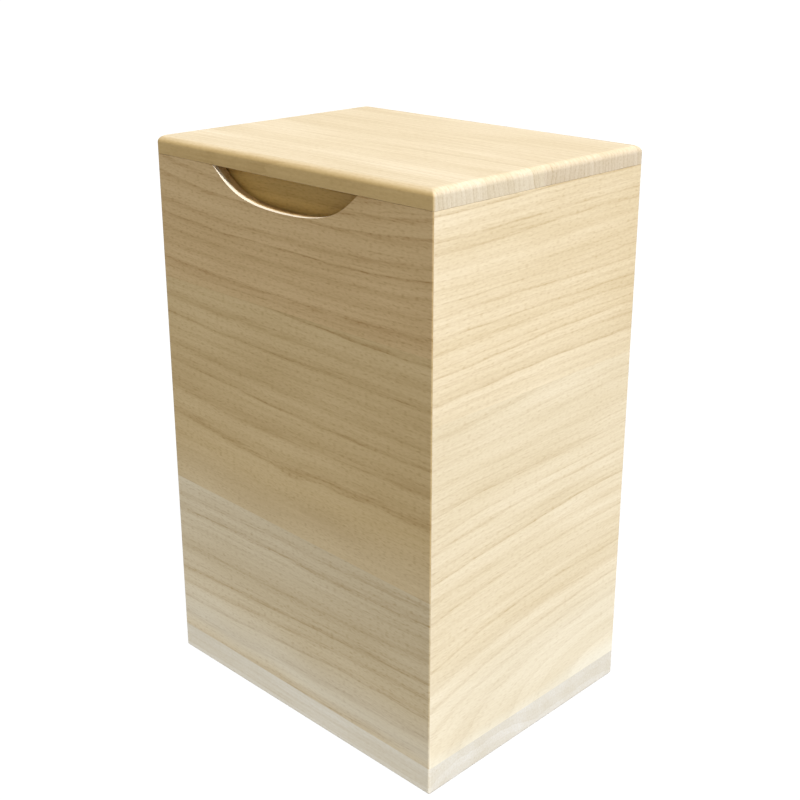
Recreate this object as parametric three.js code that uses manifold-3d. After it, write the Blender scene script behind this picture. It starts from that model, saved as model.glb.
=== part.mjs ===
// A tall rice box of pale, bare paulownia boards with a loose lid.
// Millimetres, +Z up. The origin lies under the middle of the base, and the notched front faces -Y.
import * as THREE from "three";
import { mergeVertices } from "three/addons/utils/BufferGeometryUtils.js";
import Module from "manifold-3d";

// Overall size of the closed box
const WIDTH = 250;
const DEPTH = 192;
const HEIGHT = 383;

// Thickness of the boards
const WALL_T = 8;
const LID_T = 12;
const BASE_T = 19;

// Rounded edges
const CORNER_R = 1.5; // the four upright corners
const LID_ROUND = 6; // the top edges of the lid
const BASE_ROUND = 2; // the bottom edges of the base

// Widths of the boards that are glued edge to edge; the board that has no width here takes the rest
const FRONT_TOP_BOARD = 83;
const FRONT_BOTTOM_BOARD = 118; // at mid width
const FRONT_JOINT_FALL = 5; // the joint above the bottom board falls this much from left to right
const BACK_TOP_BOARD = 105;
const BACK_BOTTOM_BOARD = 96;
const LEFT_TOP_BOARD = 168;
const RIGHT_TOP_BOARD = 124;
const BASE_FRONT_BOARD = 108;
const LID_BACK_BOARD = 58;
const LID_MIDDLE_BOARD = 41;

// Finger notch in the top edge of the front wall: a smile with a flat bottom and straight ends
const NOTCH_W = 132;
const NOTCH_DEPTH = 21;
const NOTCH_FLAT = 44; // pull of the curve along the bottom, to each side of the middle
const NOTCH_RAMP = 13; // pull of the curve in from each tip
const NOTCH_TIP_ANGLE = 40; // degrees from level at the tips

// Rim of battens under the lid, which drops inside the walls
const RIM_T = 10;
const RIM_H = 30;
const RIM_GAP = 1; // play between the rim and the walls

// Wooden pegs, driven from below: through the base into the walls, and through the rim into the lid
const PEG_D = 3;
const WALL_BITE = 15; // how far a peg reaches into a wall
const LID_BITE = 6; // how far a peg reaches into the lid
const PEG_INSET = 42; // from the end of a board to the first peg of its row
const PEG_SINK = 0.5; // how far a peg's lower end lies inside its hole
const FRONT_PEGS = 3; // under the front wall, and as many under the back wall
const SIDE_PEGS = 2; // under each side wall
const RIM_PEGS = 2; // in each batten

// Gaps
const GLUE = 0.2; // a glue line
const SEAT = 0.3; // between the loose lid and the walls
const PEG_GAP = 0.3; // round a peg in its hole

// Smoothness of the round stretches
const CORNER_STEPS = 4;
const ROUND_STEPS = 6;
const NOTCH_STEPS = 12;
const PEG_SIDES = 12;
const OVERCUT = 1; // how far a cutter reaches past what it cuts

// Tones of bare paulownia
const WARM = 0xecd6a8;
const FAIR = 0xeed9b0;
const PALE = 0xe9dcbe;
const BROWN = 0xc9ab74;
const PEG_TONE = 0xd9c08c;
const WOOD_ROUGHNESS = 0.75;

const LID_UNDER = HEIGHT - LID_T;
const WALL_FOOT = BASE_T + GLUE;
const WALL_H = LID_UNDER - SEAT - WALL_FOOT;

const wasm = await Module();
wasm.setup();

// A closed three.js geometry as a solid that can be joined and cut.
function solid(geometry) {
  const bare = geometry.clone();
  bare.deleteAttribute("normal");
  bare.deleteAttribute("uv");
  const merged = mergeVertices(bare, 1e-4);
  const triVerts = new Uint32Array(merged.index.array);
  const vertProperties = merged.attributes.position.array;
  return new wasm.Manifold(new wasm.Mesh({ numProp: 3, vertProperties, triVerts }));
}

// A named mesh of a solid, in bare wood of the given tone.
function wooden(name, body, color) {
  const { vertProperties, triVerts } = body.getMesh();
  const shared = new THREE.BufferGeometry();
  shared.setAttribute("position", new THREE.BufferAttribute(vertProperties, 3));
  shared.setIndex(new THREE.BufferAttribute(triVerts, 1));
  const geometry = shared.toNonIndexed();
  geometry.computeVertexNormals();
  const material = new THREE.MeshStandardMaterial({ color, roughness: WOOD_ROUGHNESS, metalness: 0 });
  const mesh = new THREE.Mesh(geometry, material);
  mesh.name = name;
  return mesh;
}

// A box between two corners.
function block([x0, y0, z0], [x1, y1, z1]) {
  const box = new THREE.BoxGeometry(x1 - x0, y1 - y0, z1 - z0);
  return solid(box.translate((x0 + x1) / 2, (y0 + y1) / 2, (z0 + z1) / 2));
}

// A shape through the given corner points.
function outline(points) {
  return new THREE.Shape(points.map(([x, y]) => new THREE.Vector2(x, y)));
}

// A rectangle about the origin with rounded corners.
function roundedRectangle(width, depth, radius) {
  const x = width / 2 - radius;
  const y = depth / 2 - radius;
  const shape = new THREE.Shape();
  shape.absarc(x, y, radius, 0, Math.PI / 2);
  shape.absarc(-x, y, radius, Math.PI / 2, Math.PI);
  shape.absarc(-x, -y, radius, Math.PI, 1.5 * Math.PI);
  shape.absarc(x, -y, radius, 1.5 * Math.PI, 2 * Math.PI);
  return shape;
}

// A plan shape raised from one height to another.
function raised(shape, low, high) {
  const settings = { depth: high - low, bevelEnabled: false, curveSegments: CORNER_STEPS };
  return new THREE.ExtrudeGeometry(shape, settings).translate(0, 0, low);
}

// A shape in a wall's XZ plane, drawn out through the wall and a little past both faces.
function throughWall(shape) {
  const settings = { depth: WALL_T + 2 * OVERCUT, bevelEnabled: false, curveSegments: NOTCH_STEPS };
  const out = new THREE.ExtrudeGeometry(shape, settings).rotateX(Math.PI / 2);
  return solid(out.translate(0, WALL_T + OVERCUT, 0));
}

// An upright round rod about a point of the plan.
function rod(diameter, low, high, x, y) {
  const cylinder = new THREE.CylinderGeometry(diameter / 2, diameter / 2, high - low, PEG_SIDES);
  return solid(cylinder.rotateX(Math.PI / 2).translate(x, y, (low + high) / 2));
}

// A board with a peg hole at each place, from below the board up to the given height.
function bored(board, places, low, high) {
  const width = PEG_D + 2 * PEG_GAP;
  const drill = (body, { x, y }) => body.subtract(rod(width, low - OVERCUT, high + PEG_GAP, x, y));
  return places.reduce(drill, board);
}

// A group on one side of the box. Its x runs along that side, seen from outside from left to right,
// and its y runs inwards, from the given reach out of the middle.
function sideGroup(turn, reach) {
  const group = new THREE.Group();
  group.rotation.z = turn;
  group.position.set(Math.sin(turn) * reach, -Math.cos(turn) * reach, 0);
  group.updateMatrix();
  return group;
}

// Evenly spaced places along a board, in the middle of its thickness.
function pegRow(count, length, thickness) {
  const run = length - 2 * PEG_INSET;
  const along = (i) => (count > 1 ? run * (i / (count - 1) - 0.5) : 0);
  return Array.from({ length: count }, (_, i) => new THREE.Vector3(along(i), thickness / 2, 0));
}

// The same places in the frame of the group's parent.
function outOf(group, places) {
  return places.map((place) => place.clone().applyMatrix4(group.matrix));
}

// Pegs that stand at the given places.
function pegs(prefix, places, low, high) {
  return places.map((place, i) => {
    const peg = wooden(`${prefix}_${i + 1}`, rod(PEG_D, low, high, 0, 0), PEG_TONE);
    peg.position.copy(place);
    return peg;
  });
}

// Walls: one board thick, mitred at both upright ends, with the outer corners rounded
function wallBlank(length) {
  const reach = WALL_T + CORNER_R;
  const bar = raised(roundedRectangle(length, 2 * reach, CORNER_R), 0, WALL_H).translate(0, reach, 0);
  const half = length / 2 - GLUE * Math.SQRT1_2;
  const mitred = outline([
    [-half - OVERCUT, -OVERCUT],
    [half + OVERCUT, -OVERCUT],
    [half - WALL_T, WALL_T],
    [-half + WALL_T, WALL_T],
  ]);
  return solid(bar).intersect(solid(raised(mitred, -OVERCUT, WALL_H + OVERCUT)));
}

// The boards of a wall, from the bottom up, sawn at joints that are level or fall to the right.
function sawn(blank, length, joints) {
  const x = length / 2;
  const foot = { at: -OVERCUT, fall: 0 };
  const top = { at: WALL_H + OVERCUT, fall: 0 };
  const lows = [foot, ...joints.map(({ at, fall }) => ({ at: at + GLUE / 2, fall }))];
  const highs = [...joints.map(({ at, fall }) => ({ at: at - GLUE / 2, fall })), top];
  return lows.map((low, i) => {
    const high = highs[i];
    const strip = outline([
      [-x, low.at + low.fall / 2],
      [x, low.at - low.fall / 2],
      [x, high.at - high.fall / 2],
      [-x, high.at + high.fall / 2],
    ]);
    return blank.intersect(throughWall(strip));
  });
}

// What the finger notch takes out of the front wall's top edge.
function notch() {
  const half = NOTCH_W / 2;
  const bottom = WALL_H - NOTCH_DEPTH;
  const ramp = WALL_H - NOTCH_RAMP * Math.tan(THREE.MathUtils.degToRad(NOTCH_TIP_ANGLE));
  const shape = new THREE.Shape();
  shape.moveTo(half, WALL_H + OVERCUT);
  shape.lineTo(-half, WALL_H + OVERCUT);
  shape.lineTo(-half, WALL_H);
  shape.bezierCurveTo(-half + NOTCH_RAMP, ramp, -NOTCH_FLAT, bottom, 0, bottom);
  shape.bezierCurveTo(NOTCH_FLAT, bottom, half - NOTCH_RAMP, ramp, half, WALL_H);
  return throughWall(shape);
}

const level = (at) => ({ at, fall: 0 });
const sides = {
  front: {
    turn: 0,
    length: WIDTH,
    reach: DEPTH / 2,
    pegCount: FRONT_PEGS,
    joints: [
      { at: FRONT_BOTTOM_BOARD, fall: FRONT_JOINT_FALL },
      level(WALL_H - FRONT_TOP_BOARD),
    ],
    boards: ["bottom", "middle", "top"],
    tones: [PALE, WARM, WARM],
  },
  right: {
    turn: Math.PI / 2,
    length: DEPTH,
    reach: WIDTH / 2,
    pegCount: SIDE_PEGS,
    joints: [level(WALL_H - RIGHT_TOP_BOARD)],
    boards: ["bottom", "top"],
    tones: [FAIR, WARM],
  },
  back: {
    turn: Math.PI,
    length: WIDTH,
    reach: DEPTH / 2,
    pegCount: FRONT_PEGS,
    joints: [level(BACK_BOTTOM_BOARD), level(WALL_H - BACK_TOP_BOARD)],
    boards: ["bottom", "middle", "top"],
    tones: [PALE, WARM, FAIR],
  },
  left: {
    turn: -Math.PI / 2,
    length: DEPTH,
    reach: WIDTH / 2,
    pegCount: SIDE_PEGS,
    joints: [level(WALL_H - LEFT_TOP_BOARD)],
    boards: ["bottom", "top"],
    tones: [FAIR, WARM],
  },
};

const walls = new THREE.Group();
walls.position.z = WALL_FOOT;
const basePegPlaces = [];

for (const [side, { turn, length, reach, pegCount, joints, boards, tones }] of Object.entries(sides)) {
  const wall = sideGroup(turn, reach);
  const places = pegRow(pegCount, length, WALL_T);
  const drilled = bored(wallBlank(length), places, 0, WALL_BITE);
  const whole = side === "front" ? drilled.subtract(notch()) : drilled;
  sawn(whole, length, joints).forEach((board, i) => {
    wall.add(wooden(`${side}_${boards[i]}_board`, board, tones[i]));
  });
  wall.add(...pegs(`base_peg_${side}`, places, PEG_SINK - WALL_FOOT, WALL_BITE));
  basePegPlaces.push(...outOf(wall, places));
  walls.add(wall);
}

// Slabs over the whole plan, with rounded edges at the top or the bottom
const plan = roundedRectangle(WIDTH, DEPTH, CORNER_R);

// A block over the whole plan with the given round on all its edges above and below.
function pillow(radius, low, high) {
  const x = WIDTH / 2 - radius;
  const y = DEPTH / 2 - radius;
  const flat = outline([
    [-x, -y],
    [x, -y],
    [x, y],
    [-x, y],
  ]);
  const settings = {
    depth: high - low - 2 * radius,
    bevelThickness: radius,
    bevelSize: radius,
    bevelSegments: ROUND_STEPS,
  };
  return solid(new THREE.ExtrudeGeometry(flat, settings).translate(0, 0, low + radius));
}

// A slab ripped lengthwise into boards at the given places along Y, from front to back.
function ripped(slab, thickness, joints) {
  const fronts = [-DEPTH, ...joints.map((y) => y + GLUE / 2)];
  const backs = [...joints.map((y) => y - GLUE / 2), DEPTH];
  const strip = (front, back) => block([-WIDTH, front, -OVERCUT], [WIDTH, back, thickness + OVERCUT]);
  return fronts.map((front, i) => slab.intersect(strip(front, backs[i])));
}

// Base: two boards under the walls, softened along the foot
const base = new THREE.Group();
const baseSlab = pillow(BASE_ROUND, 0, 2 * BASE_T).intersect(solid(raised(plan, 0, BASE_T)));
const baseJoints = [-DEPTH / 2 + BASE_FRONT_BOARD];
ripped(bored(baseSlab, basePegPlaces, 0, BASE_T), BASE_T, baseJoints).forEach((board, i) => {
  base.add(wooden(["base_front_board", "base_back_board"][i], board, PALE));
});

// Rim: the front and back battens run the full width, and the side battens fit between them
const lid = new THREE.Group();
lid.position.z = LID_UNDER;
const rimTop = -GLUE;
const rimFoot = rimTop - RIM_H;
const rimInset = WALL_T + RIM_GAP;
const rimPegPlaces = [];

for (const [side, { turn, length, reach }] of Object.entries(sides)) {
  const acrossEnds = side === "left" || side === "right" ? RIM_T + GLUE : 0;
  const run = length - 2 * (rimInset + acrossEnds);
  const batten = sideGroup(turn, reach - rimInset);
  const places = pegRow(RIM_PEGS, run, RIM_T);
  const bar = block([-run / 2, 0, rimFoot], [run / 2, RIM_T, rimTop]);
  batten.add(wooden(`rim_${side}_batten`, bored(bar, places, rimFoot, rimTop), BROWN));
  batten.add(...pegs(`rim_peg_${side}`, places, rimFoot + PEG_SINK, LID_BITE));
  rimPegPlaces.push(...outOf(batten, places));
  lid.add(batten);
}

// Lid: three boards with round top edges
const lidSlab = pillow(LID_ROUND, -LID_T, LID_T).intersect(solid(raised(plan, 0, LID_T)));
const lidBackJoint = DEPTH / 2 - LID_BACK_BOARD;
const lidJoints = [lidBackJoint - LID_MIDDLE_BOARD, lidBackJoint];
ripped(bored(lidSlab, rimPegPlaces, 0, LID_BITE), LID_T, lidJoints).forEach((board, i) => {
  lid.add(wooden(["lid_front_board", "lid_middle_board", "lid_back_board"][i], board, FAIR));
});

const box = new THREE.Group();
box.add(base, walls, lid);

export default box;
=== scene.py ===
# %% [markdown]
# A rice box in bare paulownia
#
# The real thing is a tall wooden box that keeps rice dry: four mitred walls glued up from boards, a thick
# base, and a loose lid with a rim of battens that drops inside the walls. A finger notch in the front wall
# lets a hand take the lid. The construction comes in as a fixed frame, and this lesson makes its looks.

# %% Load the frame
import math
from collections import namedtuple

import bmesh
import bpy
from mathutils import Matrix, Vector
from mathutils.geometry import interpolate_bezier


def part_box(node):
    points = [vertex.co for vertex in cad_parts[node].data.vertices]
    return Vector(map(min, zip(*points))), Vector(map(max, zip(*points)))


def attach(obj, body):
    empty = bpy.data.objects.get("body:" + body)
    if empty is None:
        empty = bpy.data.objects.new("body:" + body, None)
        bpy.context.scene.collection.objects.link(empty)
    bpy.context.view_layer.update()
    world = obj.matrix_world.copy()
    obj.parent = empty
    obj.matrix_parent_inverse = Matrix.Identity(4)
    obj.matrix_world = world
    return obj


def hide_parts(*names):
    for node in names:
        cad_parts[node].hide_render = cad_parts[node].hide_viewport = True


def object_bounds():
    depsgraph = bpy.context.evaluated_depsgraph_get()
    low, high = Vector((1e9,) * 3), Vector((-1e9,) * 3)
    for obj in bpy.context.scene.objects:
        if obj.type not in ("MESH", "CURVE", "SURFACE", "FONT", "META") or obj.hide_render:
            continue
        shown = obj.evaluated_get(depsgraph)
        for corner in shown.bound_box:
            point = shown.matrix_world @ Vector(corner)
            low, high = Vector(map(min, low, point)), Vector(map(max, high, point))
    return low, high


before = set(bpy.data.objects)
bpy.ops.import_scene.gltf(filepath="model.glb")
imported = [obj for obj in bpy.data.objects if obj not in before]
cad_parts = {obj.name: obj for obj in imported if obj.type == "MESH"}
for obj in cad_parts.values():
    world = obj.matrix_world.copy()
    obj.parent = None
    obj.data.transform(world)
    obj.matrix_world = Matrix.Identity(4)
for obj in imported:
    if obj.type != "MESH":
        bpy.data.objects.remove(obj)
CAD_LOW, CAD_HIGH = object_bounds()
MM = 0.001
print("box of", [round(side / MM, 1) for side in CAD_HIGH - CAD_LOW], "mm,", len(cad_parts), "nodes")

# %% [markdown]
# The camera
#
# A camera matched to a picture needs a place, a direction and a focal length that fit together. These come
# from lining up the edges of a box of this size with the edges in the picture. The picture's optical
# centre lies a little above its middle, so the sensor is shifted by that much and no more.

# %% Make the camera
CAMERA_PLACE = Vector((0.57988, -0.58382, 0.52161))
CAMERA_AZIMUTH = math.radians(44.559)
CAMERA_ELEVATION = math.radians(18.873)
PICTURE_SIDE = 800
FOCAL_PIXELS = 1282.1
OPTICAL_CENTRE_ROW = 350
SENSOR = 36.0


def make_camera():
    data = bpy.data.cameras.new("camera")
    data.sensor_width = SENSOR
    data.lens = FOCAL_PIXELS / PICTURE_SIDE * SENSOR
    data.shift_y = OPTICAL_CENTRE_ROW / PICTURE_SIDE - 0.5
    camera = bpy.data.objects.new("camera", data)
    level = math.cos(CAMERA_ELEVATION)
    right, ahead = math.sin(CAMERA_AZIMUTH), math.cos(CAMERA_AZIMUTH)
    back = Vector((right * level, -ahead * level, math.sin(CAMERA_ELEVATION)))
    camera.location = CAMERA_PLACE
    camera.rotation_euler = (-back).to_track_quat("-Z", "Y").to_euler()
    bpy.context.scene.collection.objects.link(camera)
    bpy.context.scene.camera = camera
    return camera


camera = make_camera()
print("camera with a lens of", round(camera.data.lens, 2), "mm")

# %% [markdown]
# Nodes in few words
#
# A material is a tree of nodes. Adding each node, setting its options and wiring its inputs takes many
# lines, so one helper does all three. An input is either a number that is set or a socket that is wired.

# %% Helpers for node trees


def add_node(tree, kind, inputs=None, **options):
    """A new node, with its options set and its inputs set or wired by name or number."""
    made = tree.nodes.new(kind)
    for option, value in options.items():
        setattr(made, option, value)
    for key, value in (inputs or {}).items():
        if isinstance(value, bpy.types.NodeSocket):
            tree.links.new(value, made.inputs[key])
        else:
            made.inputs[key].default_value = value
    return made


def calc(tree, operation, *values):
    """The result of a math node."""
    return add_node(tree, "ShaderNodeMath", dict(enumerate(values)), operation=operation).outputs[0]


def calc_vector(tree, operation, *values):
    """The vector that a vector math node gives."""
    return add_node(tree, "ShaderNodeVectorMath", dict(enumerate(values)), operation=operation).outputs[0]


def measure_vector(tree, operation, *values):
    """The single number that a vector math node gives, such as a length."""
    return add_node(tree, "ShaderNodeVectorMath", dict(enumerate(values)), operation=operation).outputs[1]


def spread(tree, value, low, high, new_low, new_high):
    """A value carried from one range to another, and held inside it."""
    inputs = {0: value, 1: low, 2: high, 3: new_low, 4: new_high}
    return add_node(tree, "ShaderNodeMapRange", inputs, clamp=True).outputs[0]


def blend_colour(tree, share, first, second, blend_type="MIX"):
    """Two colours mixed by a share."""
    inputs = {0: share, 6: first, 7: second}
    mix = add_node(tree, "ShaderNodeMix", inputs, data_type="RGBA", blend_type=blend_type)
    return mix.outputs[2]


print("node helpers ready")

# %% [markdown]
# The floor and the light
#
# The box stands on a white ground that shows hardly any shadow, as when a photographer lights the ground on
# its own. A ground as bright as that would light the walls too, so it is hidden from their light. A white
# ball round the whole set closes the view past the edge of the ground, and only the camera sees it.
#
# What lights the box is a soft tent all round, one strong lamp high on the right that reaches the lid and
# the right wall and only brushes the front, a weaker one for the back and the left, and a bounce card on
# the ground that lifts the foot of the front.

# %% Lay the floor and hang the backdrop
FLOOR_REACH = 15.0
GROUND_GLOW = 1.0
DARK = (0.02, 0.02, 0.02, 1)
WHITE = (1, 1, 1, 1)
MATT = 0.9


def glowing(name, strength):
    """A dark matt finish that glows white by itself."""
    material = bpy.data.materials.new(name)
    material.use_nodes = True
    shader = material.node_tree.nodes["Principled BSDF"]
    shader.inputs["Base Color"].default_value = DARK
    shader.inputs["Roughness"].default_value = MATT
    shader.inputs["Emission Color"].default_value = WHITE
    shader.inputs["Emission Strength"].default_value = strength
    return material


def to_object(bm, name, materials=()):
    """Makes a mesh an object of the scene."""
    mesh = bpy.data.meshes.new(name)
    bm.to_mesh(mesh)
    bm.free()
    for material in materials:
        mesh.materials.append(material)
    made = bpy.data.objects.new(name, mesh)
    bpy.context.scene.collection.objects.link(made)
    return made


def set_up(bm, name, material):
    """Makes a mesh an object of the scene with one material."""
    made = to_object(bm, name, [material])
    return made


def make_ground(material):
    """The floor and the backdrop."""
    flat = bmesh.new()
    bmesh.ops.create_grid(flat, x_segments=1, y_segments=1, size=FLOOR_REACH)
    floor = set_up(flat, "floor", material)
    floor.visible_diffuse = False
    ball = bmesh.new()
    bmesh.ops.create_icosphere(ball, subdivisions=3, radius=FLOOR_REACH)
    backdrop = set_up(ball, "backdrop", material)
    backdrop.visible_diffuse = False
    backdrop.visible_glossy = False
    backdrop.visible_transmission = False
    backdrop.visible_shadow = False


make_ground(glowing("white_ground", GROUND_GLOW))
print("floor of", 2 * FLOOR_REACH, "m a side in a white ball")

# %% Set the light
KEY_FROM = Vector((0.83, -0.20, 1.0))
KEY_STRENGTH = 4.2
KEY_WIDTH = math.radians(7)
FILL_FROM = Vector((-0.7, 0.75, 0.02))
FILL_STRENGTH = 2.0
FILL_WIDTH = math.radians(7)
TENT_STRENGTH = 0.3
CARD_STRENGTH = 0.75
CARD_LEFT = -0.33
CARD_RIGHT = 0.2
CARD_DEPTH = 0.15
CARD_LIFT = 0.5 * MM


def make_lamp(name, place, strength, width):
    """A broad far lamp, with an even light all over the box."""
    data = bpy.data.lights.new(name, "SUN")
    data.energy = strength
    data.angle = width
    lamp = bpy.data.objects.new(name, data)
    lamp.rotation_euler = place.to_track_quat("Z", "Y").to_euler()
    bpy.context.scene.collection.objects.link(lamp)
    return lamp


def make_tent():
    """An even white light from all sides."""
    world = bpy.data.worlds.new("tent")
    world.use_nodes = True
    background = world.node_tree.nodes["Background"]
    background.inputs["Color"].default_value = WHITE
    background.inputs["Strength"].default_value = TENT_STRENGTH
    bpy.context.scene.world = world


def make_card():
    """A glowing card on the ground before the front, which the camera doesn't see."""
    bm = bmesh.new()
    bmesh.ops.create_grid(bm, x_segments=1, y_segments=1, size=0.5)
    bmesh.ops.scale(bm, vec=(CARD_RIGHT - CARD_LEFT, CARD_DEPTH, 1), verts=bm.verts)
    middle = Vector(((CARD_LEFT + CARD_RIGHT) / 2, CAD_LOW.y - CARD_DEPTH / 2, CARD_LIFT))
    bmesh.ops.translate(bm, vec=middle, verts=bm.verts)
    card = set_up(bm, "card", glowing("bounce_card", CARD_STRENGTH))
    card.visible_camera = False


make_lamp("key", KEY_FROM, KEY_STRENGTH, KEY_WIDTH)
fill = make_lamp("fill", FILL_FROM, FILL_STRENGTH, FILL_WIDTH)
fill.visible_glossy = False
make_tent()
make_card()
bpy.context.scene.view_settings.view_transform = "Standard"
print("key lamp", KEY_STRENGTH, "tent", TENT_STRENGTH, "card", CARD_STRENGTH)

# %% [markdown]
# Paulownia, ring by ring
#
# Paulownia is pale, soft and fast-grown, so its year rings are wide: each starts with a brown line of open
# pores and fades into smooth, pale wood. A flat picture of grain looks wrong at the board ends. So the
# pattern is solid: rings about the heart line of a log that may lie outside the board and lean through it.
# Long faces then show long grain, leaning logs show arches, and board ends show end grain by themselves.
#
# One node group holds the pattern. It reads two sets of coordinates in millimetres: those of the log, for
# the rings, and those of the board, for the fibres, which always run straight along the board.

# %% Noise and rings
EARLY_FADE = 4.0
LATE_START = 0.86
LATE_SHARE = 0.7
DASH_SLIMNESS = 20
DASH_EDGES = (0.36, 0.64)
FAINTEST_DASH = 0.3
FAINTEST_RING = 0.2


def stretched_noise(tree, place, along, across, detail=0.0):
    """Smooth noise with the given grain size along and across the board, from 0 to 1."""
    scale = (1 / along, 1 / across, 1 / across)
    at = calc_vector(tree, "MULTIPLY", place, scale)
    return add_node(tree, "ShaderNodeTexNoise", {"Vector": at, "Scale": 1.0, "Detail": detail})


def sway(tree, board, along, across, reach):
    """A sideways shift of the rings, up to half the given reach each way."""
    noise = stretched_noise(tree, board, along, across).outputs[1]
    centred = calc_vector(tree, "SUBTRACT", noise, (0.5, 0.5, 0.5))
    return calc_vector(tree, "MULTIPLY", centred, (0, reach, reach))


def ring_distance(tree, log, board):
    """Distance from the heart of the log, with the slow waves and small ripples of real rings."""
    waves = sway(tree, board, along=170, across=45, reach=9)
    ripples = sway(tree, board, along=30, across=7, reach=2)
    moved = calc_vector(tree, "ADD", log, calc_vector(tree, "ADD", waves, ripples))
    return measure_vector(tree, "LENGTH", calc_vector(tree, "MULTIPLY", moved, (0, 1, 1)))


def chance(tree, number):
    """A number from 0 to 1 that is the same wherever the given number is."""
    return add_node(tree, "ShaderNodeTexWhiteNoise", {"W": number}, noise_dimensions="1D").outputs[0]


def ring_lines(tree, years, board, dash):
    """The brown band at the start of each ring: no two as strong, and all broken into dashes."""
    part = calc(tree, "FRACT", years)
    early = calc(tree, "POWER", calc(tree, "SUBTRACT", 1.0, part), EARLY_FADE)
    late = spread(tree, part, LATE_START, 1.0, 0.0, LATE_SHARE)
    band = calc(tree, "MAXIMUM", early, late)
    broken = stretched_noise(tree, board, along=dash, across=dash / DASH_SLIMNESS, detail=2.0).outputs[0]
    band = calc(tree, "MULTIPLY", band, spread(tree, broken, *DASH_EDGES, FAINTEST_DASH, 1.0))
    strength = spread(tree, chance(tree, calc(tree, "FLOOR", years)), 0.0, 1.0, FAINTEST_RING, 1.0)
    return calc(tree, "MULTIPLY", band, strength)


print("noise and rings ready")

# %% Years, pores and tones
GOOD_YEARS = 26.0
GOOD_YEARS_SWING = 1.6
PORE_EDGES = (0.52, 0.74)
FEWEST_PORES = 0.4
TONE_EDGES = (0.25, 0.75)
YEAR_TONE = 0.03
OTHER_CHANCE = 0.37


def count_years(tree, distance, width):
    """The ring that a place lies in, counted from the heart, with good and bad years."""
    slow = {"W": calc(tree, "DIVIDE", distance, GOOD_YEARS), "Scale": 1.0, "Detail": 1.0}
    pace = add_node(tree, "ShaderNodeTexNoise", slow, noise_dimensions="1D").outputs[0]
    even = calc(tree, "DIVIDE", distance, width)
    return calc(tree, "ADD", even, calc(tree, "MULTIPLY", pace, GOOD_YEARS_SWING))


def open_pores(tree, dots, years):
    """Pores where the dots are dense, and more of them at the start of a ring than at its end."""
    rest = calc(tree, "SUBTRACT", 1.0, calc(tree, "FRACT", years))
    dense = spread(tree, dots, *PORE_EDGES, 0.0, 1.0)
    return calc(tree, "MULTIPLY", dense, spread(tree, rest, 0.0, 1.0, FEWEST_PORES, 1.0))


def tone(tree, board, along, across, reach, detail=0.0):
    """A light and dark unevenness of the given grain, up to the given reach each way."""
    noise = stretched_noise(tree, board, along, across, detail).outputs[0]
    return spread(tree, noise, *TONE_EDGES, -reach, reach)


def year_tone(tree, years):
    """Each ring a touch lighter or darker than the next."""
    number = calc(tree, "ADD", calc(tree, "FLOOR", years), OTHER_CHANCE)
    return spread(tree, chance(tree, number), 0.0, 1.0, -YEAR_TONE, YEAR_TONE)


print("years, pores and tones ready")

# %% Sockets of the wood pattern
WOOD_INPUTS = {
    "Log": "NodeSocketVector",
    "Board": "NodeSocketVector",
    "Place": "NodeSocketFloat",
    "End": "NodeSocketFloat",
    "Ring Width": "NodeSocketFloat",
    "Pale": "NodeSocketColor",
    "Contrast": "NodeSocketFloat",
    "Calm": "NodeSocketFloat",
    "Drift": "NodeSocketFloat",
    "End Lines": "NodeSocketFloat",
}
WOOD_OUTPUTS = {"Color": "NodeSocketColor", "Roughness": "NodeSocketFloat", "Height": "NodeSocketFloat"}


def wood_sockets(group):
    """Gives the group its sockets, and returns the inputs to read and the outputs to fill."""
    for name, kind in WOOD_INPUTS.items():
        group.interface.new_socket(name=name, in_out="INPUT", socket_type=kind)
    for name, kind in WOOD_OUTPUTS.items():
        group.interface.new_socket(name=name, in_out="OUTPUT", socket_type=kind)
    return group.nodes.new("NodeGroupInput").outputs, group.nodes.new("NodeGroupOutput").inputs


print(len(WOOD_INPUTS), "inputs and", len(WOOD_OUTPUTS), "outputs")

# %% Make the wood pattern
LINE_TINT = (0.60, 0.48, 0.29, 1)
FINE_RINGS = 2.4
FINE_SHARE = 0.45
CALM_LINES = 0.1
PORE_SHARE = 0.4
GREEN_SWING = 1.3
BLUE_SWING = 2.0
SMOOTHEST = 0.55
ROUGHEST = 0.7


def line_share(group, given, distance, years, fine_years):
    """How strongly the brown lines show: wide rings with finer ones between them."""
    board = given["Board"]
    fine = calc(group, "MULTIPLY", ring_lines(group, fine_years, board, dash=14), FINE_SHARE)
    line = calc(group, "ADD", ring_lines(group, years, board, dash=24), fine)
    line = calc(group, "MULTIPLY", line, spread(group, distance, 0.0, given["Calm"], CALM_LINES, 1.0))
    return calc(group, "MULTIPLY", line, spread(group, given["End"], 0.0, 1.0, 1.0, given["End Lines"]))


def unevenness(group, given, years):
    """The light and dark of broad flames, of fibres, of single grains and of years, about 1."""
    board = given["Board"]
    light = calc(group, "MULTIPLY_ADD", given["Place"], given["Drift"], 1.0)
    for part in (
        tone(group, board, along=120, across=22, reach=0.05, detail=1.0),
        tone(group, board, along=60, across=1.6, reach=0.035, detail=1.0),
        tone(group, board, along=2.5, across=1.2, reach=0.02),
        year_tone(group, years),
    ):
        light = calc(group, "ADD", light, part)
    green = calc(group, "POWER", light, GREEN_SWING)
    blue = calc(group, "POWER", light, BLUE_SWING)
    return add_node(group, "ShaderNodeCombineColor", {0: light, 1: green, 2: blue}).outputs[0]


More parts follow.
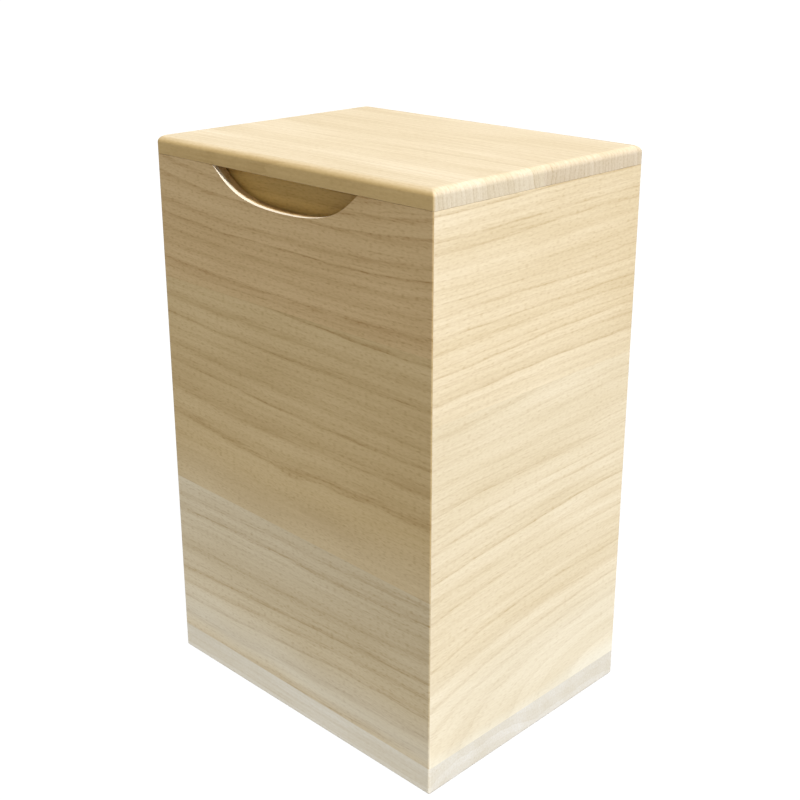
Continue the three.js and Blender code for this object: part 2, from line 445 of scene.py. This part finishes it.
def make_wood_group():
    group = bpy.data.node_groups.new("paulownia_rings", "ShaderNodeTree")
    given, made = wood_sockets(group)
    distance = ring_distance(group, given["Log"], given["Board"])
    years = count_years(group, distance, given["Ring Width"])
    fine_years = calc(group, "MULTIPLY", years, FINE_RINGS)
    dots = stretched_noise(group, given["Board"], along=3.6, across=1.0).outputs[0]
    pores = open_pores(group, dots, fine_years)
    line = line_share(group, given, distance, years, fine_years)
    share = calc(group, "ADD", line, calc(group, "MULTIPLY", pores, PORE_SHARE))
    share = calc(group, "MINIMUM", calc(group, "MULTIPLY", share, given["Contrast"]), 1.0)
    brown = blend_colour(group, 1.0, given["Pale"], LINE_TINT, blend_type="MULTIPLY")
    colour = blend_colour(group, share, given["Pale"], brown)
    bright = unevenness(group, given, years)
    group.links.new(blend_colour(group, 1.0, colour, bright, blend_type="MULTIPLY"), made["Color"])
    group.links.new(spread(group, dots, 0.2, 0.8, SMOOTHEST, ROUGHEST), made["Roughness"])
    group.links.new(calc(group, "MULTIPLY", pores, -1.0), made["Height"])
    return group


WOOD = make_wood_group()
print("wood pattern of", len(WOOD.nodes), "nodes")

# %% [markdown]
# The wood of one board
#
# Every board takes the same pattern from a log of its own, and three things are added that the rings don't
# know. Board ends have a tint of their own, because open fibres swallow more light, and the lid's planed
# front edge has a painted shade that makes it darker and yellower than its lit top. Some boards keep a
# strip of whiter sapwood along their lower edge, and the very foot of the walls gets a painted floor bounce
# in the same white. And the pores are sunk a little with a bump.

# %% Measure along a log or a board
GRAIN_ALONG = {"X": Vector((1, 0, 0)), "Y": Vector((0, 1, 0)), "Z": Vector((0, 0, 1))}
UPRIGHT = 0.9
DRIFT_STEP = 100 * MM


def object_place(tree):
    """The place of a point on a piece, in metres."""
    return add_node(tree, "ShaderNodeTexCoord").outputs["Object"]


def log_coordinates(tree, heart, direction):
    """Coordinates in millimetres about a heart line through a point, with x along the log."""
    turn = direction.to_track_quat("X", "Y" if direction.z > UPRIGHT else "Z").to_euler()
    inputs = {"Vector": object_place(tree), "Location": heart, "Rotation": turn, "Scale": (MM, MM, MM)}
    return add_node(tree, "ShaderNodeMapping", inputs, vector_type="TEXTURE").outputs[0]


def place_along(tree, axis):
    """How far a place lies along an axis from the origin of the box, in steps of 100 mm."""
    return measure_vector(tree, "DOT_PRODUCT", object_place(tree), axis / DRIFT_STEP)


def squareness(tree, axis):
    """How squarely a face looks along an axis, from 0 to 1."""
    normal = add_node(tree, "ShaderNodeTexCoord").outputs["Normal"]
    facing = measure_vector(tree, "DOT_PRODUCT", normal, axis)
    return calc(tree, "MULTIPLY", facing, facing)


print("grain may run along", ", ".join(GRAIN_ALONG))

# %% Whiten the sapwood
# One white for the sapwood strips and for a painted floor bounce at the very foot of the walls.
SAPWOOD_AND_BOUNCE_WHITE = (0.97, 1.0, 0.94, 1)
SAP_AND_BOUNCE_FADE = 16 * MM
SAP_AND_BOUNCE_WAVES = 12.0
WALL_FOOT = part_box("base_front_board")[1].z
# The painted floor bounce keeps its own share up to this far above the base, then fades into the sapwood
# share.
BOUNCE_LINE = 9 * MM
BOUNCE_FADE = 11 * MM
BOUNCE_START = WALL_FOOT + BOUNCE_LINE
BOUNCE_END = BOUNCE_START + BOUNCE_FADE


def whiten_sapwood_and_bounce(tree, colour, height, share, foot_bounce_share=0.0):
    """Sapwood along the lower edge of a board, up to a height in millimetres, mixed in by a share. At the
    very foot of the walls the share is another, and there the white is a painted floor bounce."""
    at = object_place(tree)
    slow = {"Vector": at, "Scale": SAP_AND_BOUNCE_WAVES, "Detail": 1.0}
    waves = add_node(tree, "ShaderNodeTexNoise", slow).outputs[0]
    level = add_node(tree, "ShaderNodeSeparateXYZ", {0: at}).outputs[2]
    waved = calc(tree, "MULTIPLY_ADD", waves, SAP_AND_BOUNCE_FADE, level)
    white = spread(tree, waved, height * MM, height * MM + 2 * SAP_AND_BOUNCE_FADE, 1.0, 0.0)
    # Painted floor bounce: near the very foot of the walls the white takes a share of its own.
    most = spread(tree, waved, BOUNCE_START, BOUNCE_END, foot_bounce_share, share)
    return blend_colour(tree, calc(tree, "MULTIPLY", white, most), colour, SAPWOOD_AND_BOUNCE_WHITE)


print("foot of the walls ends", round(BOUNCE_END / MM, 1), "mm up")

# %% Make a board's wood from its log
UP = GRAIN_ALONG["Z"]
FAIR = (0.80, 0.68, 0.47)
DULL_END = (0.90, 0.92, 0.98)
NO_CALM = 1.0
SOFT_LINES = 0.5
RELIEF = 0.01 * MM
RELIEF_STRENGTH = 0.5
GLOSS = 0.3


def tint(tree, colour, share, by):
    """A colour that is multiplied by another one as far as the share goes."""
    return blend_colour(tree, share, colour, (*by, 1), blend_type="MULTIPLY")


def paulownia(
    name, grain, heart, lean=(0.0, 0.0), pale=FAIR, ring=9.0, contrast=0.85, calm=NO_CALM, drift=0.0,
    end_tint=DULL_END, end_lines=SOFT_LINES, painted_edge_shade=None, sap_and_bounce=None,
):
    """Wood of a board with its grain along an axis. The heart of its log passes through a point given in
    millimetres, and leans sideways and upwards by the given slopes. Ring is the width of a ring, calm the
    distance from the heart within which the rings fade, drift the change of tone over 100 mm, and end_lines
    the strength of the lines in the end grain. The edge tint, where there is one, is a painted shade on
    faces that look sideways across the grain. The sapwood triple gives the height of the sapwood, its
    share, and its share at the foot of the walls where there is any, which is a painted floor bounce."""
    material = bpy.data.materials.new(name)
    material.use_nodes = True
    tree = material.node_tree
    shader = tree.nodes["Principled BSDF"]
    along = GRAIN_ALONG[grain]
    sideways = Vector((-along.y, along.x, 0))
    direction = along + lean[0] * sideways + lean[1] * UP
    heart_place = Vector(heart) * MM
    end = squareness(tree, along)
    inputs = {
        "Log": log_coordinates(tree, heart_place, direction),
        "Board": log_coordinates(tree, heart_place, along),
        "Place": place_along(tree, along),
        "End": end,
        "Ring Width": ring,
        "Pale": (*pale, 1),
        "Contrast": contrast,
        "Calm": calm,
        "Drift": drift,
        "End Lines": end_lines,
    }
    wood = add_node(tree, "ShaderNodeGroup", inputs, node_tree=WOOD).outputs
    colour = tint(tree, wood["Color"], end, end_tint)
    # Painted shade: faces that look sideways across the grain, as the lid's front edge does, are darkened
    # and yellowed against the lit top.
    if painted_edge_shade:
        colour = tint(tree, colour, squareness(tree, sideways), painted_edge_shade)
    # Sapwood strips, and at the very foot of the walls a painted floor bounce in the same white.
    if sap_and_bounce:
        colour = whiten_sapwood_and_bounce(tree, colour, *sap_and_bounce)
    tree.links.new(colour, shader.inputs["Base Color"])
    tree.links.new(wood["Roughness"], shader.inputs["Roughness"])
    relief = {"Height": wood["Height"], "Strength": RELIEF_STRENGTH, "Distance": RELIEF}
    tree.links.new(add_node(tree, "ShaderNodeBump", relief).outputs[0], shader.inputs["Normal"])
    shader.inputs["Specular IOR Level"].default_value = GLOSS
    return material


print("paulownia ready")

# %% [markdown]
# Shaping a board
#
# Boards are sawn, planed and lightly rounded, and the operators do the same: a cube is scaled to a slab,
# edges are bevelled, and planes saw off what is left over. After each cut the open end is closed with a
# face.

# %% Helpers for shaping
ARRIS = 0.25 * MM
CLOSE = 0.01 * MM
TINY = 1e-7


def near(first, second):
    return abs(first - second) < CLOSE


def slab(low, high):
    """A block between two corners."""
    bm = bmesh.new()
    bmesh.ops.create_cube(bm, size=1.0)
    bmesh.ops.scale(bm, vec=Vector(high) - Vector(low), verts=bm.verts)
    bmesh.ops.translate(bm, vec=(Vector(high) + Vector(low)) / 2, verts=bm.verts)
    return bm


def edges_at(bm, test):
    """The edges whose two ends both pass a test of their place."""
    return [edge for edge in bm.edges if all(test(vert.co) for vert in edge.verts)]


def is_level(edge):
    return near(edge.verts[0].co.z, edge.verts[1].co.z)


def rising(edges):
    """Those of the edges that climb."""
    return [edge for edge in edges if not is_level(edge)]


def round_edges(bm, edges, radius, segments):
    """Rounds edges as a router or a block plane does."""
    bmesh.ops.bevel(
        bm, geom=edges, offset=radius, affect="EDGES", segments=segments, profile=0.5, material=-1,
        clamp_overlap=True,
    )


def part_at(bm, point, away, drop=False):
    """Parts the shape along a plane, drops the side that the arrow points to if asked, and returns the new
    edges."""
    everything = bm.verts[:] + bm.edges[:] + bm.faces[:]
    cut = bmesh.ops.bisect_plane(
        bm, geom=everything, dist=TINY, plane_co=point, plane_no=away, clear_outer=drop
    )
    return [part for part in cut["geom_cut"] if isinstance(part, bmesh.types.BMEdge)]


def saw(bm, point, away):
    """Saws the shape at a plane, drops the side that the arrow points to, and closes the cut."""
    bmesh.ops.holes_fill(bm, edges=part_at(bm, point, away, drop=True), sides=0)


print("shaping helpers ready")

# %% [markdown]
# Peg holes
#
# Wooden pegs hold the base to the walls and the rim to the lid. A hole could be drawn as a dark dot, but a
# light from below would show the fraud. So each board is really drilled: a Boolean takes a bundle of round
# bits out of it, a little wider than the pegs.

# %% Drill the peg holes
PEG_NODES = [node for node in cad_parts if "_peg_" in node]
PEG_SEGMENTS = 24
PEG_PLAY = 0.3 * MM
BIT_OVERRUN = 2 * MM


def upright_rod(bm, low, high, play=0.0):
    """A round rod in a box, made wider by some play."""
    radius = (high.x - low.x) / 2 + play
    place = Matrix.Translation((low + high) / 2)
    bmesh.ops.create_cone(
        bm, cap_ends=True, segments=PEG_SEGMENTS, radius1=radius, radius2=radius, depth=high.z - low.z,
        matrix=place,
    )


def pegs_through(low, high):
    """The boxes of the pegs that reach into a box."""
    boxes = [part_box(node) for node in PEG_NODES]
    return [(a, b) for a, b in boxes if all(a[i] < high[i] and low[i] < b[i] for i in range(3))]


def drill(board):
    """Drills the holes of all pegs that reach into a board."""
    places = [vert.co for vert in board.data.vertices]
    low = Vector([min(place[i] for place in places) for i in range(3)])
    high = Vector([max(place[i] for place in places) for i in range(3)])
    found = pegs_through(low, high)
    if not found:
        return 0
    bits = bmesh.new()
    for peg_low, peg_high in found:
        start = peg_low - Vector((0, 0, BIT_OVERRUN))
        upright_rod(bits, start, peg_high + Vector((0, 0, PEG_PLAY)), PEG_PLAY)
    tool = to_object(bits, "bits")
    cut = board.modifiers.new("peg_holes", "BOOLEAN")
    cut.operation = "DIFFERENCE"
    cut.solver = "EXACT"
    cut.object = tool
    drilled = board.evaluated_get(bpy.context.evaluated_depsgraph_get())
    board.data = bpy.data.meshes.new_from_object(drilled)
    board.modifiers.clear()
    bpy.data.objects.remove(tool)
    return len(found)


print(len(PEG_NODES), "pegs to drill for")

# %% [markdown]
# Finishing a piece
#
# Every piece ends the same way. Its doubles are merged, its faces turned outwards and its holes drilled,
# and it is hung on the body it moves with, while the node of the construction that it stands for is
# hidden. Smooth shading alone would bend the light on a flat board, so sharp edges are marked and a
# weighted normal keeps wide faces flat beside the small rounds.

# %% Finish a piece
Piece = namedtuple("Piece", "name node body slot materials")
SHARP_ANGLE = math.radians(35)


def finish_piece(bm, piece):
    """Makes the mesh an object that rides on its body and stands for its node."""
    bmesh.ops.remove_doubles(bm, verts=bm.verts, dist=TINY)
    bmesh.ops.recalc_face_normals(bm, faces=bm.faces)
    made = to_object(bm, piece.name, piece.materials)
    holes = 0 if piece.node in PEG_NODES else drill(made)
    made.data.shade_smooth()
    made.data.set_sharp_from_angle(angle=SHARP_ANGLE)
    normals = made.modifiers.new("flat_faces", "WEIGHTED_NORMAL")
    normals.keep_sharp = True
    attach(made, piece.body)
    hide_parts(piece.node)
    print(made.name, len(made.data.polygons), "faces,", holes, "peg holes")


def finish_plank(bm, node, body, slot, woods):
    """Finishes a piece that stands for a board."""
    finish_piece(bm, Piece(node.replace("board", "plank"), node, body, slot, woods))


print("ready to finish pieces")

# %% [markdown]
# The walls
#
# On the real box the walls meet in mitres, so that no end grain shows at the corners. Each wall could be
# modelled in its place, but then every cut would be worked out four times. So a wall is one flat panel in a
# frame of its own, with x along the wall, y going inwards from the outer face and z up. It is mitred, sawn
# into boards there and only then turned to its side.

# %% Measure the walls
CORNER_ROUND = 1.5 * MM
SEAT_LINE = 0.1 * MM
WALL_LOW, WALL_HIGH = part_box("front_middle_board")
WALL = WALL_HIGH.y - WALL_LOW.y
WALL_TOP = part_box("lid_front_board")[0].z - SEAT_LINE
HALF_WIDTH = CAD_HIGH.x
HALF_DEPTH = CAD_HIGH.y
Side = namedtuple("Side", "turn half reach")
SIDES = {
    "front": Side(0.0, HALF_WIDTH, HALF_DEPTH),
    "right": Side(math.pi / 2, HALF_DEPTH, HALF_WIDTH),
    "back": Side(math.pi, HALF_WIDTH, HALF_DEPTH),
    "left": Side(-math.pi / 2, HALF_DEPTH, HALF_WIDTH),
}
print("walls of", round(WALL / MM, 2), "mm, from", round(WALL_FOOT / MM, 1), "to", round(WALL_TOP / MM, 1))

# %% Shape a wall


def soften_wall(bm, half, upper_edges):
    """Rounds the two outer corners of a wall blank, and takes the arris off its upper edges."""
    corners = rising(edges_at(bm, lambda at: near(at.y, 0) and near(abs(at.x), half)))
    round_edges(bm, corners, CORNER_ROUND, segments=6)
    round_edges(bm, upper_edges(bm), ARRIS, segments=2)


def mitre(bm, half):
    """Saws both ends at 45 degrees."""
    saw(bm, (half, 0, 0), (1, 1, 0))
    saw(bm, (-half, 0, 0), (-1, 1, 0))


def to_side(bm, side):
    """Turns a finished board from its own frame to its side of the box."""
    turn = Matrix.Rotation(side.turn, 4, "Z")
    place = turn @ Vector((0, -side.reach, 0))
    bmesh.ops.transform(bm, matrix=Matrix.Translation(place) @ turn, verts=bm.verts)


def wall_blank(side):
    """A whole wall with mitred ends."""
    bm = slab((-side.half, 0, WALL_FOOT), (side.half, WALL, WALL_TOP))
    soften_wall(bm, side.half, lambda mesh: edges_at(mesh, lambda at: near(at.z, WALL_TOP)))
    mitre(bm, side.half)
    return bm


def joint_between(lower, upper):
    """Height of the glue joint at the left and right end, from the boxes of the two boards."""
    lower_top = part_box(lower)[1].z
    upper_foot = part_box(upper)[0].z
    return lower_top, upper_foot


def board_from(blank, side, foot=None, top=None):
    """The part of a wall between two joints. A joint is the height at its left and at its right end."""
    bm = blank.copy()
    for joint, sign in ((foot, -1), (top, 1)):
        if joint:
            left, right = joint
            slope = (right - left) / (2 * side.half)
            saw(bm, (0, 0, (left + right) / 2), Vector((-slope, 0, 1)) * sign)
    return bm


print("wall shaping ready")

# %% [markdown]
# The notched top board of the front
#
# Its face is an outline with a smile cut out of the top edge, drawn out to the wall's thickness. The smile
# is two Bezier curves that meet in a level bottom, as a jigsaw leaves it. The key lamp reaches in under the
# lid only to the outer part of the cut, so the cut is parted at a fixed depth and its outer band gets a
# second, paler material: painted light on the lit band.

# %% Draw the notched board
NOTCH_HALF = 66 * MM
NOTCH_DEPTH = 21 * MM
NOTCH_FLAT = 44 * MM
NOTCH_RAMP = 13 * MM
NOTCH_TIP_ANGLE = math.radians(40)
NOTCH_STEPS = 24
NOTCH_LOWEST = WALL_TOP - NOTCH_DEPTH - CLOSE
BOARD_FACE = 0
# The outer band of the notch's cut gets a paler material: painted light where the key lamp reaches in under
# the lid.
PAINTED_LIGHT_BAND = 1
PAINTED_LIGHT_DEPTH = 3 * MM


def notch_curve():
    """The edge of the notch from its right tip to its left tip, as pairs of x and z."""
    tip = Vector((NOTCH_HALF, WALL_TOP, 0))
    ramp = tip - Vector((NOTCH_RAMP, NOTCH_RAMP * math.tan(NOTCH_TIP_ANGLE), 0))
    bottom = Vector((0, WALL_TOP - NOTCH_DEPTH, 0))
    flat = bottom + Vector((NOTCH_FLAT, 0, 0))
    right = interpolate_bezier(tip, ramp, flat, bottom, NOTCH_STEPS)
    left = [Vector((-at.x, at.y, 0)) for at in reversed(right[:-1])]
    return [(at.x, at.y) for at in right + left]


def in_notch(at):
    return abs(at.x) < NOTCH_HALF + CLOSE and at.z > NOTCH_LOWEST


def notched_edges(bm):
    """The long edges of the top and of the notch, on both faces of the board."""
    rim = edges_at(bm, lambda at: at.z > NOTCH_LOWEST)
    return [edge for edge in rim if near(edge.verts[0].co.y, edge.verts[1].co.y)]


def notched_blank(side, foot):
    """The top board of the front wall, before it is turned to its side."""
    bm = bmesh.new()
    half = side.half
    outline = [(-half, foot), (half, foot), (half, WALL_TOP), *notch_curve(), (-half, WALL_TOP)]
    face = bm.faces.new([bm.verts.new((x, 0, z)) for x, z in outline])
    drawn = bmesh.ops.extrude_face_region(bm, geom=[face])["geom"]
    moved = [part for part in drawn if isinstance(part, bmesh.types.BMVert)]
    bmesh.ops.translate(bm, vec=(0, WALL, 0), verts=moved)
    # The whole cut of the notch first takes the paler material of the painted light.
    for cut in bm.faces:
        if all(in_notch(vert.co) for vert in cut.verts):
            cut.material_index = PAINTED_LIGHT_BAND
    soften_wall(bm, half, notched_edges)
    # Parted at about the depth the lamp reaches: the deeper part of the cut goes back to the board's own
    # wood.
    part_at(bm, (0, PAINTED_LIGHT_DEPTH, 0), (0, 1, 0))
    for cut in bm.faces:
        if cut.calc_center_median().y > PAINTED_LIGHT_DEPTH:
            cut.material_index = BOARD_FACE
    mitre(bm, half)
    return bm


print("notch of", 2 * NOTCH_HALF / MM, "by", NOTCH_DEPTH / MM, "mm,", len(notch_curve()), "points")

# %% [markdown]
# Front boards
#
# A tree rarely gives a board as wide as the wall is tall, so the front is glued up from three, and each
# needs a log of its own: fine lines that sag in the middle at the top, wider rings that fall to the right
# in the middle, and a paler bottom board whose joint falls to the right as well. The lower two are sawn
# from one blank and the notched one is drawn to the same measures, so their faces and corners line up.

# %% Make the front wall
FRONT_TOP_LOG = {"grain": "X", "heart": (10, -96, 423), "lean": (0.33, 0.0)}
# The middle and top boards are darker and browner than the boards of the other walls: partly their own
# tone, partly painted shade for the front, which the key lamp only brushes.
FRONT_WOODS = {
    # The last sapwood share, 0.06, is a faint painted floor bounce at the very foot of the front.
    "front_bottom_board": [
        paulownia(
            "front_bottom_wood", "X", heart=(392, -84, -31), lean=(-0.06, 0.02), pale=(0.73, 0.61, 0.40),
            ring=13.0, contrast=0.8, drift=-0.055, sap_and_bounce=(36, 0.28, 0.06),
        ),
    ],
    "front_middle_board": [
        paulownia(
            "front_middle_wood", "X", heart=(-56, -28, 161), lean=(0.0, -0.035), pale=(0.685, 0.51, 0.252),
            ring=10.0, drift=-0.01, sap_and_bounce=(148, 0.09),
        ),
    ],
    "front_top_board": [
        paulownia(
            "front_top_wood", pale=(0.69, 0.492, 0.24), ring=10.5, contrast=0.95, drift=-0.01,
            **FRONT_TOP_LOG,
        ),
        # Painted light: the paler wood of the lit outer band of the notch's cut.
        paulownia("painted_light_cut_wood", pale=(0.82, 0.73, 0.58), ring=9.5, contrast=0.2, **FRONT_TOP_LOG),
    ],
}


def make_front():
    side = SIDES["front"]
    low_joint = joint_between("front_bottom_board", "front_middle_board")
    high_joint = joint_between("front_middle_board", "front_top_board")
    middle = sum(high_joint) / 2
    blank = wall_blank(side)
    shapes = {
        "front_bottom_board": board_from(blank, side, top=low_joint),
        "front_middle_board": board_from(blank, side, foot=low_joint, top=(middle, middle)),
        "front_top_board": notched_blank(side, middle),
    }
    blank.free()
    for node, bm in shapes.items():
        to_side(bm, side)
        finish_plank(bm, node, "body", "wall_wood", FRONT_WOODS[node])


make_front()

# %% [markdown]
# Side and back boards
#
# The other three walls have level joints and no notch, so one function makes them all. The right wall shows
# long arches where its lower board's log leans out of the face. The left wall and the back are cut from the
# same kind of log, each board with rings of its own.

# %% Make the other walls
OTHER_WOODS = {
    # The last sapwood share, 0.36, is a painted floor bounce at the very foot of the right wall.
    "right_bottom_board": paulownia(
        "right_bottom_wood", "Y", heart=(125, 110, 15), lean=(-0.307, 0.0), pale=(0.765, 0.657, 0.463),
        ring=10.0, contrast=0.55, calm=70.0, sap_and_bounce=(70, 0.15, 0.36),
    ),
    "right_top_board": paulownia(
        "right_top_wood", "Y", heart=(123, -299, 53), lean=(0.0, 0.02), pale=(0.775, 0.645, 0.43),
        ring=7.0, contrast=0.6, drift=-0.04, sap_and_bounce=(258, 0.07),
    ),
    "back_bottom_board": paulownia("back_bottom_wood", "X", (0, 60, -40), (0.12, 0.02), ring=11.0),
    "back_middle_board": paulownia("back_middle_wood", "X", (0, 40, 200), (-0.1, 0.03), (0.77, 0.63, 0.42)),
    "back_top_board": paulownia("back_top_wood", "X", (0, 80, 180), (0.0, 0.015), ring=8.0),
    "left_bottom_board": paulownia("left_bottom_wood", "Y", (-110, -60, -20), (0.22, 0.02), ring=10.0),
    "left_top_board": paulownia("left_top_wood", "Y", (-100, 0, 150), (0.0, -0.02), (0.78, 0.65, 0.44)),
}


def make_plain_wall(name, boards):
    """A wall of level boards, named from the bottom up."""
    side = SIDES[name]
    blank = wall_blank(side)
    nodes = [f"{name}_{board}_board" for board in boards]
    heights = [sum(joint_between(*pair)) / 2 for pair in zip(nodes, nodes[1:])]
    joints = [(height, height) for height in heights]
    for node, foot, top in zip(nodes, [None, *joints], [*joints, None]):
        bm = board_from(blank, side, foot, top)
        to_side(bm, side)
        finish_plank(bm, node, "body", "wall_wood", [OTHER_WOODS[node]])
    blank.free()


make_plain_wall("right", ["bottom", "top"])
make_plain_wall("back", ["bottom", "middle", "top"])
make_plain_wall("left", ["bottom", "top"])

# %% [markdown]
# Base and lid
#
# Both are boards glued side by side. If each board were rounded alone, the rounds would have to meet at the
# joints by chance. So the whole slab is rounded first, as a workshop does after the glue has set, and then
# ripped lengthwise into its boards. The base only has its corners and its foot softened. The lid's top
# edges are rounded over with a router bit, which leaves a flat band of end grain below.

# %% Make the base
BASE_ROUND = 2 * MM
BASE_LOOK = {"pale": (0.79, 0.73, 0.60), "ring": 6.0, "contrast": 0.25}
BASE_WOODS = {
    "base_front_board": paulownia("base_front_wood", "X", (0, -40, -160), **BASE_LOOK),
    "base_back_board": paulownia("base_back_wood", "X", (0, 60, -190), **BASE_LOOK),
}


def corner_edges(bm):
    """The four rising corner edges of a slab over the whole plan, with their run over rounded top edges."""
    return rising(edges_at(bm, lambda at: near(HALF_WIDTH - abs(at.x), HALF_DEPTH - abs(at.y))))


def rip(bm, nodes, body, slot, woods):
    """Saws a slab lengthwise at the joints between the boards, which are named from front to back."""
    boxes = [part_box(node) for node in nodes]
    joints = [(front[1].y + back[0].y) / 2 for front, back in zip(boxes, boxes[1:])]
    for node, front, back in zip(nodes, [None, *joints], [*joints, None]):
        board = bm.copy()
        if front is not None:
            saw(board, (0, front, 0), (0, -1, 0))
        if back is not None:
            saw(board, (0, back, 0), (0, 1, 0))
        finish_plank(board, node, body, slot, [woods[node]])
    bm.free()


def make_base():
    bm = slab((-HALF_WIDTH, -HALF_DEPTH, 0), (HALF_WIDTH, HALF_DEPTH, WALL_FOOT))
    round_edges(bm, corner_edges(bm), CORNER_ROUND, segments=6)
    round_edges(bm, edges_at(bm, lambda at: near(at.z, 0)), BASE_ROUND, segments=4)
    rip(bm, ["base_front_board", "base_back_board"], "body", "base_wood", BASE_WOODS)


make_base()

# %% Make the lid
LID_ROUND = 4.5 * MM
# Painted shade for the lid's front edge and the lower part of its round, darker and yellower than the lit
# top.
LID_EDGE_PAINTED_SHADE = (0.84, 0.70, 0.41)
LID_END = (0.83, 0.835, 0.89)
LID_FRONT_END = (0.895, 0.925, 1.0)
LID_LOOK = {"pale": (0.775, 0.65, 0.45), "ring": 4.0, "contrast": 0.35, "end_lines": 1.7}
LID_WOODS = {
    "lid_front_board": paulownia(
        "lid_front_wood", "X", (0, -260, 350), (0.02, 0.0), end_tint=LID_FRONT_END, painted_edge_shade=LID_EDGE_PAINTED_SHADE,
        **LID_LOOK,
    ),
    "lid_middle_board": paulownia(
        "lid_middle_wood", "X", (0, -300, 380), (-0.02, 0.0), end_tint=LID_END, **LID_LOOK
    ),
    "lid_back_board": paulownia(
        "lid_back_wood", "X", (0, -280, 365), (0.01, 0.0), end_tint=LID_END, **LID_LOOK
    ),
}


def make_lid():
    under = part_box("lid_front_board")[0].z
    top = CAD_HIGH.z
    bm = slab((-HALF_WIDTH, -HALF_DEPTH, under), (HALF_WIDTH, HALF_DEPTH, top))
    round_edges(bm, edges_at(bm, lambda at: near(at.z, top)), LID_ROUND, segments=10)
    round_edges(bm, corner_edges(bm), CORNER_ROUND, segments=6)
    round_edges(bm, edges_at(bm, lambda at: near(at.z, under)), ARRIS, segments=2)
    rip(bm, ["lid_front_board", "lid_middle_board", "lid_back_board"], "lid", "lid_wood", LID_WOODS)


make_lid()

# %% [markdown]
# The rim
#
# Four planed battens under the lid drop inside the walls and keep the lid in place. The front one closes
# the notch from inside, and is painted darker and browner than the rest: painted shade for the recess
# behind the notch. Hands touch these when the lid is off, so each is a slab with all its edges eased.

# %% Make the rim battens
BATTEN_ARRIS = 0.8 * MM
RIM_PALE = (0.76, 0.60, 0.34)
# Painted shade: the front batten is darker and browner, for the shaded recess behind the notch.
RIM_PAINTED_SHADE_BROWN = (0.635, 0.415, 0.115)


def make_batten(side, grain, heart, pale):
    node = f"rim_{side}_batten"
    bm = slab(*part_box(node))
    round_edges(bm, bm.edges[:], BATTEN_ARRIS, segments=2)
    wood = paulownia(f"rim_{side}_wood", grain, heart, pale=pale)
    finish_piece(bm, Piece(f"rim_{side}_bar", node, "lid", "rim_wood", [wood]))


# The front batten wears the painted shade of the recess behind the notch.
make_batten("front", "X", (0, -120, 290), RIM_PAINTED_SHADE_BROWN)
make_batten("back", "X", (0, 120, 300), RIM_PALE)
make_batten("left", "Y", (-140, 0, 290), RIM_PALE)
make_batten("right", "Y", (150, 0, 290), RIM_PALE)

# %% [markdown]
# The pegs
#
# Each peg is a slim round rod whose grain runs upright. Only the lower end shows, as a round dot of end
# grain a little inside its hole. A bare cylinder would end in a knife edge, so both rims are softened.

# %% Make the pegs
PEG_SOFTENING = 0.3 * MM
PEG_WOOD = paulownia("peg_wood", "Z", (0, 0, 0), pale=(0.66, 0.5, 0.3), ring=3.0)


def make_peg(node):
    bm = bmesh.new()
    upright_rod(bm, *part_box(node))
    round_edges(bm, [edge for edge in bm.edges if is_level(edge)], PEG_SOFTENING, segments=2)
    body = "lid" if node.startswith("rim") else "body"
    finish_piece(bm, Piece(node.replace("peg", "dowel"), node, body, "peg_wood", [PEG_WOOD]))


for peg_node in PEG_NODES:
    make_peg(peg_node)

# %% [markdown]
# Sizes
#
# The looks must not change the size of the box, so the box of the construction is printed.

# %% Print the box of the construction
print("construction", list(CAD_LOW), list(CAD_HIGH))
